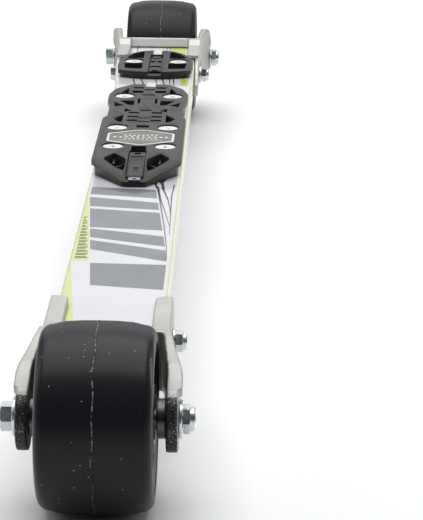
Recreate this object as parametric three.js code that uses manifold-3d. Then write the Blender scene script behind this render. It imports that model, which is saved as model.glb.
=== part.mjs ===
// A wheeled training ski for classic technique: a fibreglass shaft between two cast forks,
// each carrying a wide rubber wheel on a bolted axle, with a toe plate and a heel plate on top.
// Millimetres. X is across, Y runs from the toe end (negative) to the heel end, Z is up.
// The origin lies on the ground, midway between the wheels.
import * as THREE from 'three';
import { mergeVertices } from 'three/addons/utils/BufferGeometryUtils.js';
import Module from 'manifold-3d';

const wasm = await Module();
wasm.setup();

// driving dimensions
const fit = 0.3; // air left between pieces that touch
const wheelbase = 700;
const wheelRadius = 41;
const wheelHalf = 24.4; // half width of the tyre
const tyreBore = 27;
const shaftWidth = 51;
const shaftTop = 58;
const shaftHeight = 18;
const shaftWall = 2.2;
const shaftHalfLength = 303.5;
const armInner = 28.8; // inner face of a fork arm, from the middle plane
const armOuter = 34;
const ribOuter = 35.4;
const eyeRadius = 14.3;
const wallOuter = 28.4; // outer face of a fork's side wall
const stripInner = 20; // inner edge of the strips that lie on the shaft
const forkTop = 61;
const bridgeTop = 64.3;
const axleRadius = 4; // M8
const clampFromAxle = 80;
const clampHeight = 46.5;
const clampRadius = 3; // M6
const pinFromAxle = 58;
const pinRadius = 2;
const toePlateHeight = 8;
const heelPlateHeight = 5;
const noseHeight = 3;
const screwX = 15;
const screwHeadRadius = 6.2;
const screwShankRadius = 2.4;
const toeScrewRows = [2, 45, 124.5];
const heelScrewRow = 237.5;
const screwSink = 1.7; // head below the plate's top
// cutting shapes run past the pieces they cut, out to these
const pastSide = 45;
const pastTop = 100;
const pastStrips = 130;

const axleHeight = wheelRadius;
const halfBase = wheelbase / 2;
const clampY = halfBase - clampFromAxle;
const pinY = halfBase - pinFromAxle;
const shaftMiddle = shaftTop - shaftHeight / 2;

// finishes
const metal = (color, roughness) => new THREE.MeshStandardMaterial({ color, roughness, metalness: 1 });
const plain = (color, roughness) => new THREE.MeshStandardMaterial({ color, roughness, metalness: 0 });
const finishes = {
  gloss: () => plain(0xe9e8ec, 0.25),
  foam: () => plain(0xc9b78c, 0.8),
  cast: () => metal(0xb9b8b0, 0.45),
  zinc: () => metal(0xc3cdd0, 0.3),
  steel: () => metal(0x9a9da0, 0.3),
  rubber: () => plain(0x0c0c0d, 0.5),
  hub: () => plain(0x4a4c4f, 0.5),
  plastic: () => plain(0x262321, 0.5),
  badge: () => plain(0x8d8a80, 0.4),
};

const part = new THREE.Group();

function toSolid(geometry) {
  const bare = geometry.clone();
  bare.deleteAttribute('normal');
  bare.deleteAttribute('uv');
  const merged = mergeVertices(bare, 1e-4);
  const vertProperties = new Float32Array(merged.attributes.position.array);
  const triVerts = new Uint32Array(merged.index.array);
  return new wasm.Manifold(new wasm.Mesh({ numProp: 3, vertProperties, triVerts }));
}

function toGeometry(solid) {
  const mesh = solid.getMesh();
  const geometry = new THREE.BufferGeometry();
  geometry.setAttribute('position', new THREE.BufferAttribute(mesh.vertProperties, 3));
  geometry.setIndex(new THREE.BufferAttribute(mesh.triVerts, 1));
  geometry.computeVertexNormals();
  return geometry;
}

function place(name, solid, finish) {
  const mesh = new THREE.Mesh(toGeometry(solid), finishes[finish]());
  mesh.name = name;
  part.add(mesh);
}

const cut = (solid, tools) => tools.reduce((left, tool) => left.subtract(tool), solid);

function box(x0, x1, y0, y1, z0, z1) {
  const geometry = new THREE.BoxGeometry(x1 - x0, y1 - y0, z1 - z0);
  geometry.translate((x0 + x1) / 2, (y0 + y1) / 2, (z0 + z1) / 2);
  return toSolid(geometry);
}

function shapeOf(points) {
  return new THREE.Shape(points.map(([a, b]) => new THREE.Vector2(a, b)));
}

// a plan outline (x, y) raised from z0 to z1
function raised(shape, z0, z1) {
  const settings = { depth: z1 - z0, bevelEnabled: false, curveSegments: 3 };
  const geometry = new THREE.ExtrudeGeometry(shape, settings);
  geometry.translate(0, 0, z0);
  return toSolid(geometry);
}

// a side outline (y, z) carried across from x0 to x1
function carried(shape, x0, x1) {
  const settings = { depth: x1 - x0, bevelEnabled: false, curveSegments: 8 };
  const geometry = new THREE.ExtrudeGeometry(shape, settings);
  geometry.rotateY(Math.PI / 2);
  geometry.rotateX(Math.PI / 2);
  geometry.translate(x0, 0, 0);
  return toSolid(geometry);
}

// a closed profile of (x, radius) turned about the line through (y, z), parallel to X;
// its flats, not its corners, lie at the stated radius
function turned(profile, y, z, segments) {
  const grow = 1 / Math.cos(Math.PI / segments);
  const points = profile.map(([x, r]) => new THREE.Vector2(r * grow, x));
  points.push(points[0].clone());
  const geometry = new THREE.LatheGeometry(points, segments, Math.PI / segments);
  geometry.rotateZ(-Math.PI / 2);
  geometry.translate(0, y, z);
  const solid = toSolid(geometry);
  return solid.volume() > 0 ? solid : toSolid(flipped(geometry));
}

function flipped(geometry) {
  const index = geometry.index.array;
  for (let i = 0; i < index.length; i += 3) {
    [index[i], index[i + 1]] = [index[i + 1], index[i]];
  }
  return geometry;
}

const ring = (x0, x1, inner, outer, y, z, segments = 20) =>
  turned([[x0, inner], [x1, inner], [x1, outer], [x0, outer]], y, z, segments);

function rodX(x0, x1, radius, y, z, segments = 20) {
  const geometry = new THREE.CylinderGeometry(radius, radius, x1 - x0, segments);
  geometry.rotateZ(Math.PI / 2);
  geometry.translate((x0 + x1) / 2, y, z);
  return toSolid(geometry);
}

function rodZ(x, y, z0, z1, radius, segments = 20) {
  const geometry = new THREE.CylinderGeometry(radius, radius, z1 - z0, segments);
  geometry.rotateX(Math.PI / 2);
  geometry.translate(x, y, (z0 + z1) / 2);
  return toSolid(geometry);
}

// turns a hexagon from corners above and below to flats above and below
const flatTopped = (block, y, z) => block.rotate([30, 0, 0]).translate([0, y, z]);

// a hexagon across the flats, with its outer corners turned down
function hexX(x0, x1, acrossFlats, outerSide, y, z) {
  const radius = acrossFlats / Math.sqrt(3);
  const block = flatTopped(rodX(x0, x1, radius, 0, 0, 6), y, z);
  const chamfer = 0.12 * acrossFlats;
  const [near, far] = outerSide > 0 ? [x0, x1] : [x1, x0];
  const chamferStart = far - outerSide * chamfer * 0.55;
  const centre = 0.01;
  const profile = [
    [near, centre], [near, radius + 1], [chamferStart, radius], [far, radius - chamfer], [far, centre],
  ];
  return block.intersect(turned(profile, y, z, 24));
}

// ---- shaft

function roundedRectangle(width, height, radius) {
  const w = width / 2;
  const h = height / 2;
  const shape = new THREE.Shape();
  shape.moveTo(-w + radius, -h);
  shape.lineTo(w - radius, -h);
  shape.absarc(w - radius, -h + radius, radius, -Math.PI / 2, 0);
  shape.lineTo(w, h - radius);
  shape.absarc(w - radius, h - radius, radius, 0, Math.PI / 2);
  shape.lineTo(-w + radius, h);
  shape.absarc(-w + radius, h - radius, radius, Math.PI / 2, Math.PI);
  shape.lineTo(-w, -h + radius);
  shape.absarc(-w + radius, -h + radius, radius, Math.PI, 1.5 * Math.PI);
  return shape;
}

// a section (x, z) carried along the shaft
function alongShaft(shape, halfLength) {
  const depth = 2 * halfLength;
  const geometry = new THREE.ExtrudeGeometry(shape, { depth, bevelEnabled: false, curveSegments: 4 });
  geometry.rotateX(Math.PI / 2);
  geometry.translate(0, halfLength, shaftMiddle);
  return toSolid(geometry);
}

// armTop is the line of the arms' top edge, from the eye to the bridge, as distance from the axle
// and height; rib is the lower line of the rib under it
const ends = [
  {
    end: 'front',
    side: -1,
    stripEnd: 101,
    eyeTop: 95,
    armTop: [[6, 57], [15, 60.2], [30, 63], [38, bridgeTop]],
    rib: [[-6, 62], [2, 50], [10, 53], [20, 56.5], [32, 58.8], [40, 59.4]],
  },
  {
    end: 'rear',
    side: 1,
    stripEnd: 83,
    eyeTop: 62,
    armTop: [[9.5, 57.5], [11.5, 61.5], [14.5, 64.2], [19, 66], [27, 65.8], [34, bridgeTop + 0.4]],
    rib: [[-2, 62], [5, 50.5], [10, 55.5], [15, 60], [22, 61.5], [30, 61.2], [40, 60]],
  },
];
const screwPlaces = [...toeScrewRows, heelScrewRow].flatMap((y) => [[-screwX, y], [screwX, y]]);
const screwDepth = 13;

function shaftHoles(clearance) {
  const screws = screwPlaces.map(([x, y]) =>
    rodZ(x, y, shaftTop - screwDepth - clearance, shaftTop + 1, screwShankRadius + clearance, 8));
  const across = ends.flatMap(({ side }) => [
    rodX(-pastSide, pastSide, clampRadius + clearance, side * clampY, clampHeight, 12),
    rodX(-pastSide, pastSide, pinRadius + clearance, side * pinY, shaftMiddle, 8),
  ]);
  return [...screws, ...across];
}

const shellOutline = roundedRectangle(shaftWidth, shaftHeight, 2.5);
const boreWidth = shaftWidth - 2 * shaftWall;
const boreHeight = shaftHeight - 2 * shaftWall;
shellOutline.holes.push(roundedRectangle(boreWidth, boreHeight, 1));
const coreOutline = roundedRectangle(boreWidth - 2 * fit, boreHeight - 2 * fit, 0.8);
place('shaft_shell', cut(alongShaft(shellOutline, shaftHalfLength), shaftHoles(fit)), 'gloss');
place('shaft_core', cut(alongShaft(coreOutline, shaftHalfLength - 2), shaftHoles(fit)), 'foam');

// ---- forks

// fork outlines are drawn with u, the distance from the axle towards the middle of the ski
const wallFront = halfBase - shaftHalfLength - 3 - fit;
const wallEnd = 112;
const wallFoot = 37.6;
const eyeReach = 16; // the arms end this far beyond the axle

// half of the fork from above: a thin wall beside the shaft that widens into an arm beside the wheel
function forkPlan() {
  const right = [
    [wallEnd, wallOuter], [58, wallOuter], [42, 29.5], [25, 32.2], [14.5, 34.6], [9.5, ribOuter],
    [-eyeReach, ribOuter], [-eyeReach, armInner], [10, armInner], [27.6, 27.4],
    [wallFront - 2.5, 26.2], [wallFront, 25.4],
  ];
  const left = right.map(([u, x]) => [u, -x]).reverse();
  return [...right, ...left].map(([u, x]) => [x, u]);
}

function forkSide({ stripEnd, eyeTop, armTop }) {
  const shape = new THREE.Shape();
  const eyeUnder = -1.14;
  shape.moveTo(stripEnd, forkTop);
  shape.lineTo(wallEnd, 46);
  shape.lineTo(wallEnd, 40);
  shape.lineTo(wallEnd - 4, wallFoot);
  shape.lineTo(48, wallFoot);
  shape.lineTo(30, 31.5);
  shape.lineTo(6, axleHeight - 13);
  const eyeEnd = THREE.MathUtils.degToRad(eyeTop) - 2 * Math.PI;
  shape.absarc(0, axleHeight, eyeRadius, eyeUnder, eyeEnd, true);
  armTop.forEach(([u, z]) => shape.lineTo(u, z));
  shape.lineTo(wallFront + 5, bridgeTop);
  shape.lineTo(wallFront + 9, forkTop);
  return shape;
}

// the shallow field on an arm's outer face, which leaves a rib along its top edge
function armField(rib) {
  const side = [[-20, 15], [-20, 62], ...rib, [47, 52], [47, 15]];
  const plan = [
    [armOuter, -20], [armOuter, 9.5], [33.3, 14.5], [30.9, 25], [28.2, 42], [28.2, 50],
    [pastSide, 50], [pastSide, -20],
  ];
  return carried(shapeOf(side), 0, pastSide).intersect(raised(shapeOf(plan), 0, pastTop));
}

// the opening between the strips, seen from above, right half
const openingStart = wallFront + 1;

function openingPlan(stripEnd) {
  const corner = 4;
  const start = openingStart;
  const shape = new THREE.Shape();
  shape.moveTo(-1, start);
  shape.lineTo(stripInner, start);
  shape.lineTo(stripInner, stripEnd - corner);
  shape.absarc(stripInner + corner, stripEnd - corner, corner, Math.PI, Math.PI / 2, true);
  shape.lineTo(pastSide, stripEnd);
  shape.lineTo(pastSide, pastStrips);
  shape.lineTo(-1, pastStrips);
  return shape;
}

function fork(end) {
  const { side, stripEnd, rib } = end;
  const plan = raised(shapeOf(forkPlan()), 0, pastTop);
  const body = plan.intersect(carried(forkSide(end), -pastSide, pastSide));
  // the bridge slopes down to the shaft inside the opening
  const slopeFoot = openingStart + 4.6;
  const slope = [[openingStart - 1, shaftTop - 1], [slopeFoot, shaftTop - 1], [slopeFoot, shaftTop],
    [openingStart, bridgeTop + 0.1], [openingStart - 1, bridgeTop + 0.1]];
  const opening = raised(openingPlan(stripEnd), shaftTop, pastTop)
    .subtract(carried(shapeOf(slope), -pastSide, pastSide));
  const field = armField(rib);
  const halfWidth = shaftWidth / 2 + fit;
  const tools = [
    box(-halfWidth, halfWidth, halfBase - shaftHalfLength - fit, pastStrips, 0, shaftTop + fit),
    opening,
    opening.mirror([1, 0, 0]),
    field,
    field.mirror([1, 0, 0]),
    rodX(-pastSide, pastSide, axleRadius + fit, 0, axleHeight, 20),
    rodX(-pastSide, pastSide, clampRadius + fit, clampFromAxle, clampHeight, 12),
    rodX(-pastSide, pastSide, pinRadius + fit, pinFromAxle, shaftMiddle, 12),
  ];
  const shaped = cut(body, tools);
  const facing = side < 0 ? shaped : shaped.mirror([0, 1, 0]);
  return facing.translate([0, side * halfBase, 0]);
}

ends.forEach((end) => place(`${end.end}_fork`, fork(end), 'cast'));

// clamp bolt, its nut and washer, and the locating pin of each fork
const clampFlats = 8.6;
const headHeight = 4;
const nutHeight = 5;
const washerHeight = 1.2;
const pinReach = 29.2;
ends.forEach(({ end, side }) => {
  const y = side * clampY;
  const seat = wallOuter + fit;
  const nutFace = seat + washerHeight + fit;
  const nutEnd = nutFace + nutHeight;
  const head = hexX(-seat - headHeight, -seat, clampFlats, -1, y, clampHeight);
  const shank = rodX(-seat - 1, nutEnd - 0.1, clampRadius, y, clampHeight, 12);
  place(`${end}_clamp_bolt`, head.add(shank), 'zinc');
  place(`${end}_clamp_washer`, ring(seat, seat + washerHeight, clampRadius + fit, 6, y, clampHeight), 'zinc');
  const nut = hexX(nutFace, nutEnd, clampFlats, 1, y, clampHeight);
  const thread = rodX(seat, pastSide, clampRadius + fit, y, clampHeight, 12);
  place(`${end}_clamp_nut`, cut(nut, [thread]), 'zinc');
  place(`${end}_locating_pin`, rodX(-pinReach, pinReach, pinRadius, side * pinY, shaftMiddle, 12), 'steel');
});

// ---- wheels and axles

const shoulder = 5;
const crownEdge = 39.2;

function halfTyre() {
  const points = [[7, wheelRadius], [14, 40.5], [wheelHalf - shoulder, crownEdge]];
  const steps = 3;
  for (let i = 1; i <= steps; i += 1) {
    const a = (Math.PI / 2) * (i / steps);
    points.push([wheelHalf - shoulder * (1 - Math.sin(a)), crownEdge - shoulder * (1 - Math.cos(a))]);
  }
  return [...points, [23.6, 29.5], [22.8, tyreBore]];
}

function mirrored(half) {
  return [...half.map(([x, r]) => [-x, r]).reverse(), ...half];
}

const bearingRadius = 11;
const bearingWidth = 7;
const bearingFace = 24;
const seatDepth = bearingFace - bearingWidth;

function hub(y) {
  const seatRadius = bearingRadius + fit;
  const outside = mirrored([
    [22.4, tyreBore - fit], [22.4, 22], [5.5, 21], [5.5, 15.5], [23.9, 14.6], [23.9, seatRadius],
  ]);
  const half = outside.length / 2;
  const rightSide = outside.slice(half);
  const leftSide = outside.slice(0, half);
  const seat = seatDepth - fit;
  const clutchBore = 9.3;
  const bore = [[seat, seatRadius], [seat, clutchBore], [-seat, clutchBore], [-seat, seatRadius]];
  const body = turned([...rightSide, ...bore, ...leftSide], y, axleHeight, 24);
  const holes = 6;
  const holeRing = 18.2;
  const pockets = Array.from({ length: holes }, (_, i) => {
    const a = (2 * Math.PI * i) / holes;
    return rodX(-10, 10, 2.3, y + holeRing * Math.cos(a), axleHeight + holeRing * Math.sin(a), 8);
  });
  return cut(body, pockets);
}

// the balls of one bearing, held in their cage
function ballCage(x, y) {
  const pitch = 7.5;
  const count = 7;
  const band = ring(x - 0.7, x + 0.7, pitch - 0.7, pitch + 0.7, y, axleHeight, 16);
  return Array.from({ length: count }, (_, i) => {
    const a = (2 * Math.PI * i) / count;
    const ball = new THREE.IcosahedronGeometry(1.75, 0);
    ball.translate(x, y + pitch * Math.cos(a), axleHeight + pitch * Math.sin(a));
    return toSolid(ball);
  }).reduce((cage, ball) => cage.add(ball), band);
}

const washerEnd = 1.6; // from the arm's outer face to the axle washer's
const axleFlats = 11;
ends.forEach(({ end, side }) => {
  const y = side * halfBase;
  const bore = axleRadius + fit;
  place(`${end}_tyre`, turned(mirrored(halfTyre()), y, axleHeight, 36), 'rubber');
  place(`${end}_hub`, hub(y), 'hub');
  [['left', -1], ['right', 1]].forEach(([hand, sign]) => {
    const span = (a, b) => (sign > 0 ? [a, b] : [-b, -a]);
    const bearing = span(seatDepth, bearingFace);
    const name = `${end}_bearing_${hand}`;
    place(`${name}_outer_race`, ring(...bearing, 9.4, bearingRadius, y, axleHeight), 'steel');
    place(`${name}_inner_race`, ring(...bearing, bore, 5.5, y, axleHeight), 'steel');
    place(`${name}_balls`, ballCage(sign * (seatDepth + bearingWidth / 2), y), 'steel');
    const nose = ring(...span(bearingFace + fit, 26), bore, 5.6, y, axleHeight);
    const flange = ring(...span(25, armInner - fit), bore, 8.5, y, axleHeight);
    place(`${end}_spacer_bush_${hand}`, nose.add(flange), 'zinc');
    const washer = ring(...span(armOuter + fit, armOuter + washerEnd), bore, 8.4, y, axleHeight);
    place(`${end}_axle_washer_${hand}`, washer, 'zinc');
  });
  const sleeve = ring(-seatDepth + fit, seatDepth - fit, bore, 5.8, y, axleHeight);
  place(`${end}_axle_sleeve`, sleeve, 'zinc');
  const headFace = armOuter + washerEnd + fit;
  const reach = headFace + 5.1;
  const head = hexX(-reach, -headFace, axleFlats, -1, y, axleHeight);
  const shank = rodX(-headFace - 1, reach - 0.8, axleRadius, y, axleHeight, 20);
  place(`${end}_axle_bolt`, head.add(shank), 'zinc');
  const nut = hexX(headFace, reach, axleFlats, 1, y, axleHeight);
  place(`${end}_axle_nut`, cut(nut, [rodX(armInner, pastSide, bore, y, axleHeight, 20)]), 'zinc');
});

// the one-way roller clutch sits in the rear hub, between the bearings, round the sleeve
place('rear_one_way_clutch', ring(-8, 8, 6.3, 9, halfBase, axleHeight), 'steel');

// ---- boot plates

function roundedOutline(points, radius) {
  const shape = new THREE.Shape();
  const count = points.length;
  points.forEach(([x, y], i) => {
    const here = new THREE.Vector2(x, y);
    const before = new THREE.Vector2(...points[(i + count - 1) % count]).sub(here);
    const after = new THREE.Vector2(...points[(i + 1) % count]).sub(here);
    const reach = Math.min(radius, before.length() / 2.2, after.length() / 2.2);
    const from = here.clone().addScaledVector(before.normalize(), reach);
    const to = here.clone().addScaledVector(after.normalize(), reach);
    if (i === 0) {
      shape.moveTo(from.x, from.y);
    } else {
      shape.lineTo(from.x, from.y);
    }
    shape.quadraticCurveTo(here.x, here.y, to.x, to.y);
  });
  return shape;
}

const bothSides = (right) => [...right, ...right.map(([x, y]) => [-x, y]).reverse()];
const plateBase = shaftTop + fit;
const toePlateTop = shaftTop + toePlateHeight;
const heelPlateTop = shaftTop + heelPlateHeight;
const channelFloor = toePlateTop - 5;

function screwBores(rows, top) {
  return rows.flatMap((y) => [-screwX, screwX].flatMap((x) => [
    rodZ(x, y, 0, pastTop, screwShankRadius + fit, 8),
    rodZ(x, y, top - screwSink - 1.9, pastTop, screwHeadRadius + fit, 18),
  ]));
}

function pocket(points, z0) {
  const shape = shapeOf(points);
  const right = raised(shape, z0, pastTop);
  return [right, right.mirror([1, 0, 0])];
}

// the top falls away to a thin nose at the toe
const noseFall = [
  [-80, plateBase + noseHeight], [-57, shaftTop + noseHeight], [-28, toePlateTop + 0.01],
  [-28, pastTop], [-80, pastTop],
];

function toePlate() {
  const outline = bothSides([
    [7, -57], [25.2, -31.5], [25, 66.5], [22.6, 71], [22.7, 97.5], [24.7, 109], [24.8, 127.5], [21.2, 143],
    [11.5, 155], [3.5, 156],
  ]);
  const lip = raised(roundedOutline(outline, 2.5), plateBase + 2.4, toePlateTop);
  const foot = outline.map(([x, y]) => [x * 0.94, y < 0 ? y * 0.97 : y * 0.99]);
  const body = raised(roundedOutline(foot, 2.5), plateBase, plateBase + 3);
  const floor = plateBase + 1.2;
  const rungs = [59.3, 68.4, 78.3, 143.4];
  const rung = 3.4;
  const ladder = rungs.flatMap((y) =>
    pocket([[3.8, y], [10.4, y], [10.4, y + rung], [3.8, y + rung]], floor));
  const tools = [
    carried(shapeOf(noseFall), -pastSide, pastSide),
    ...screwBores(toeScrewRows, toePlateTop),
    ...pocket([[8, -47], [19, -23], [13.8, -12], [6.2, -27], [6, -44]], floor),
    box(-5, 5, -60, 1.6, channelFloor, pastTop),
    box(-3.3, 3.3, 149, 170, 0, pastTop),
    raised(badgeOutline(fit), toePlateTop - 0.9, pastTop),
    ...ladder,
    ...pocket([[12.7, 130.6], [17.8, 131.2], [13.3, 145]], floor),
    ...pocket([[8.2, 84.5], [13, 82.3], [12.8, 91]], floor),
    ...pocket([[13, 56.5], [15.8, 58], [18.8, 65.3], [12.8, 74.5]], floor),
  ];
  return cut(lip.add(body), tools);
}

function badgeOutline(grow) {
  const x = 19.6 + grow;
  const right = [[x, 12 - grow], [x, 30 + grow], [3, 37.8 + grow]];
  const points = [...bothSides(right), [0, 2.6 - grow]];
  return roundedOutline(points, 1.5);
}

function heelPlate() {
  const outline = bothSides([
    [3, 203.5], [13.5, 205.3], [24.2, 209.5], [25.2, 222], [24.8, 241], [19.2, 258], [10.8, 268],
    [3.2, 270.5],
  ]);
  const body = raised(roundedOutline(outline, 2.5), plateBase, heelPlateTop);
  const floor = plateBase + 1.2;
  const tools = [
    ...screwBores([heelScrewRow], heelPlateTop),
    box(-2.9, 2.9, 258, 280, 0, pastTop),
    ...pocket([[10, 247], [18.6, 247], [15, 261], [10, 264]], floor),
    ...pocket([[7, 212], [20, 214.5], [20, 228], [7, 228]], floor),
    box(-4.4, 4.4, 200, 256, heelPlateTop - 2.6, pastTop),
  ];
  return cut(body, tools);
}

place('toe_plate', toePlate(), 'plastic');
place('heel_plate', heelPlate(), 'plastic');
place('badge_plate', raised(badgeOutline(0), toePlateTop - 0.6, toePlateTop + 0.1), 'badge');

// the tongue lies in the toe plate's channel and falls with the nose; the catch holds its tip
const tongueFoot = channelFloor + fit;
const tongueTop = toePlateTop - 1;
const tongueSide = [
  [-50, tongueFoot], [-9, tongueFoot], [-9, tongueTop], [-30, tongueTop], [-50, tongueFoot + 0.9],
];
place('toe_tongue', carried(shapeOf(tongueSide), -4.6, 4.6), 'plastic');
place('toe_catch', box(-3.4, 3.4, -56, -50.5, tongueFoot, tongueFoot + 0.8), 'zinc');
place('heel_insert', box(-4, 4, 212, 255.6, heelPlateTop - 2.3, heelPlateTop - 0.6), 'plastic');

function plateScrew(x, y, top) {
  const face = top - screwSink;
  const head = rodZ(x, y, face - 1.6, face, screwHeadRadius, 18);
  const shank = rodZ(x, y, shaftTop - screwDepth, face - 1, screwShankRadius, 8);
  // the cross recess
  const reach = 2.4;
  const half = 0.6;
  const recess = 0.9;
  const cross = [
    box(x - reach, x + reach, y - half, y + half, face - recess, pastTop),
    box(x - half, x + half, y - reach, y + reach, face - recess, pastTop),
  ];
  return cut(head.add(shank), cross);
}

screwPlaces.forEach(([x, y]) => {
  const hand = x < 0 ? 'left' : 'right';
  const top = y === heelScrewRow ? heelPlateTop : toePlateTop;
  const row = y === heelScrewRow ? 'heel' : `toe_${toeScrewRows.indexOf(y) + 1}`;
  place(`${row}_screw_${hand}`, plateScrew(x, y, top), 'steel');
});

export default part;
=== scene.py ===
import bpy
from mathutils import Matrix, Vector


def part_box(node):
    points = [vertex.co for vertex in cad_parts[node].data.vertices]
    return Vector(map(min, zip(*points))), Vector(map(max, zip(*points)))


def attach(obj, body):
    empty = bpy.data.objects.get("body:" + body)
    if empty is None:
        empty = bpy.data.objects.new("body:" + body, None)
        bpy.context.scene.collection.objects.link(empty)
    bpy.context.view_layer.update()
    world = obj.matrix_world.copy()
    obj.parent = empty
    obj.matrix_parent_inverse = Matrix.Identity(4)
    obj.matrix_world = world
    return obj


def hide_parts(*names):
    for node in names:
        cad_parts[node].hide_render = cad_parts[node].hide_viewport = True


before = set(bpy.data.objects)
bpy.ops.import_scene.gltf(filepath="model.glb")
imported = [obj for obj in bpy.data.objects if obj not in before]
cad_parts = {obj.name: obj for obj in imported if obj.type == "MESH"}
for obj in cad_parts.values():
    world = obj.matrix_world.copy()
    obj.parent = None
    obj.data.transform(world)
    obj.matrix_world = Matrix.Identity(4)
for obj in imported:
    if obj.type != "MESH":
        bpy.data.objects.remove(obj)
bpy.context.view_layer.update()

import math
import bpy
from mathutils import Matrix

mm = 0.001
centreLine = 0.01  # the smallest radius of a spun profile, in millimetres
ends = {"front": -1, "rear": 1}
hands = {"left": -1, "right": 1}


def middle(node):
    low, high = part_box(node)
    return (low + high) / 2


# ---- working in object and edit mode

def putDown():
    if bpy.context.object and bpy.context.object.mode != "OBJECT":
        bpy.ops.object.mode_set(mode="OBJECT")
    bpy.ops.object.select_all(action="DESELECT")


def pickUp(*pieces):
    putDown()
    for piece in pieces:
        piece.select_set(True)
    bpy.context.view_layer.objects.active = pieces[0]
    return pieces[0]


def editAll(piece):
    pickUp(piece)
    bpy.ops.object.mode_set(mode="EDIT")
    bpy.ops.mesh.select_all(action="SELECT")


def editWhere(piece, mode, test):
    # selects the vertices, edges or faces that pass the test, and leaves the piece in edit mode
    pickUp(piece)
    bpy.ops.object.mode_set(mode="EDIT")
    bpy.ops.mesh.select_mode(type=mode)
    bpy.ops.mesh.select_all(action="DESELECT")
    bpy.ops.object.mode_set(mode="OBJECT")
    chosen = {"VERT": piece.data.vertices, "EDGE": piece.data.edges, "FACE": piece.data.polygons}[mode]
    for item in chosen:
        item.select = bool(test(item))
    bpy.ops.object.mode_set(mode="EDIT")


def settle(piece):
    # leaves the piece at the origin with its place in its mesh and its faces pointing out
    editAll(piece)
    bpy.ops.mesh.remove_doubles(threshold=2e-6)
    bpy.ops.mesh.normals_make_consistent(inside=False)
    pickUp(piece)
    bpy.ops.object.transform_apply(location=True, rotation=True, scale=True)
    return piece


def modify(piece, kind, **settings):
    pickUp(piece)
    bpy.ops.object.modifier_add(type=kind)
    modifier = piece.modifiers[-1]
    for name, value in settings.items():
        setattr(modifier, name, value)
    bpy.ops.object.modifier_apply(modifier=modifier.name)
    return piece


def roundEdges(piece, width, segments=2, angle=35):
    modify(piece, "BEVEL", width=width * mm, segments=segments, limit_method="ANGLE",
           angle_limit=math.radians(angle), use_clamp_overlap=True)
    pickUp(piece)
    bpy.ops.object.shade_smooth_by_angle(angle=math.radians(40))
    return piece


def joinAll(name, pieces):
    pickUp(*pieces)
    if len(pieces) > 1:
        bpy.ops.object.join()
    piece = bpy.context.object
    piece.name = name
    piece.data.name = name
    return piece


def cutAway(piece, cutters, operation="DIFFERENCE"):
    tool = joinAll("cutter", cutters)
    modify(piece, "BOOLEAN", operation=operation, solver="EXACT", use_self=True, object=tool)
    pickUp(tool)
    bpy.ops.object.delete()
    return piece


def trace(points):
    # one vertex drawn out along the points, left in edit mode
    putDown()
    bpy.ops.mesh.primitive_plane_add(size=2 * mm, location=points[0])
    piece = bpy.context.object
    bpy.ops.object.mode_set(mode="EDIT")
    bpy.ops.mesh.select_mode(type="VERT")
    bpy.ops.mesh.select_all(action="SELECT")
    bpy.ops.mesh.merge(type="CENTER")
    for before, after in zip(points, points[1:]):
        step = tuple(b - a for a, b in zip(before, after))
        bpy.ops.mesh.extrude_region_move(TRANSFORM_OT_translate={"value": step})
    bpy.ops.mesh.select_all(action="SELECT")
    bpy.ops.mesh.edge_face_add()
    bpy.ops.mesh.select_all(action="SELECT")
    return piece


def slab(points, low, high, corner=0.0, segments=3):
    # a plan outline in millimetres, raised from low to high
    piece = trace([(x * mm, y * mm, low * mm) for x, y in points])
    if corner:
        bpy.ops.mesh.bevel(offset=corner * mm, segments=segments, affect="VERTICES")
        bpy.ops.mesh.select_all(action="SELECT")
    bpy.ops.mesh.extrude_region_move(TRANSFORM_OT_translate={"value": (0, 0, (high - low) * mm)})
    return settle(piece)


def bothSides(right):
    return list(right) + [(-x, y) for x, y in reversed(right)]


def mirrorX(points):
    return [(-x, y) for x, y in points]


def beam(points, x0, x1):
    # a side outline of (y, z) in millimetres, carried across from x0 to x1
    trace([(x0 * mm, y * mm, z * mm) for y, z in points])
    bpy.ops.mesh.extrude_region_move(TRANSFORM_OT_translate={"value": ((x1 - x0) * mm, 0, 0)})
    return settle(bpy.context.object)


def spun(profile, centre, steps=64):
    # a closed profile of (x, radius) in millimetres, spun about an axle through centre
    along, y, z = centre
    piece = trace([(along + x * mm, y, z + r * mm) for x, r in profile])
    bpy.ops.mesh.delete(type="ONLY_FACE")
    bpy.ops.mesh.select_all(action="SELECT")
    bpy.ops.mesh.spin(steps=steps, angle=2 * math.pi, center=(0, y, z), axis=(1, 0, 0))
    return settle(piece)


def rod(x0, x1, radius, y, z, sides=32):
    # a bar across the ski, in millimetres along X, y and z in metres
    putDown()
    bpy.ops.mesh.primitive_cylinder_add(vertices=sides, radius=radius * mm, depth=(x1 - x0) * mm,
                                        location=((x0 + x1) / 2 * mm, y, z), rotation=(0, math.pi / 2, 0))
    return settle(bpy.context.object)


def post(x, y, z0, z1, radius, sides=32):
    putDown()
    bpy.ops.mesh.primitive_cylinder_add(vertices=sides, radius=radius * mm, depth=(z1 - z0) * mm,
                                        location=(x * mm, y * mm, (z0 + z1) / 2 * mm))
    return settle(bpy.context.object)


def arc(centreX, centreY, radius, start, stop, steps):
    turn = [math.radians(start + (stop - start) * i / steps) for i in range(steps + 1)]
    return [(centreX + radius * math.cos(a), centreY + radius * math.sin(a)) for a in turn]


def finishPiece(piece, name, body, slot, material, *nodes):
    piece.name = name
    piece.data.name = name
    piece.data.materials.clear()
    piece.data.materials.append(material)
    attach(piece, body)
    if nodes:
        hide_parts(*nodes)
    putDown()
    return piece


# ---- materials

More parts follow.
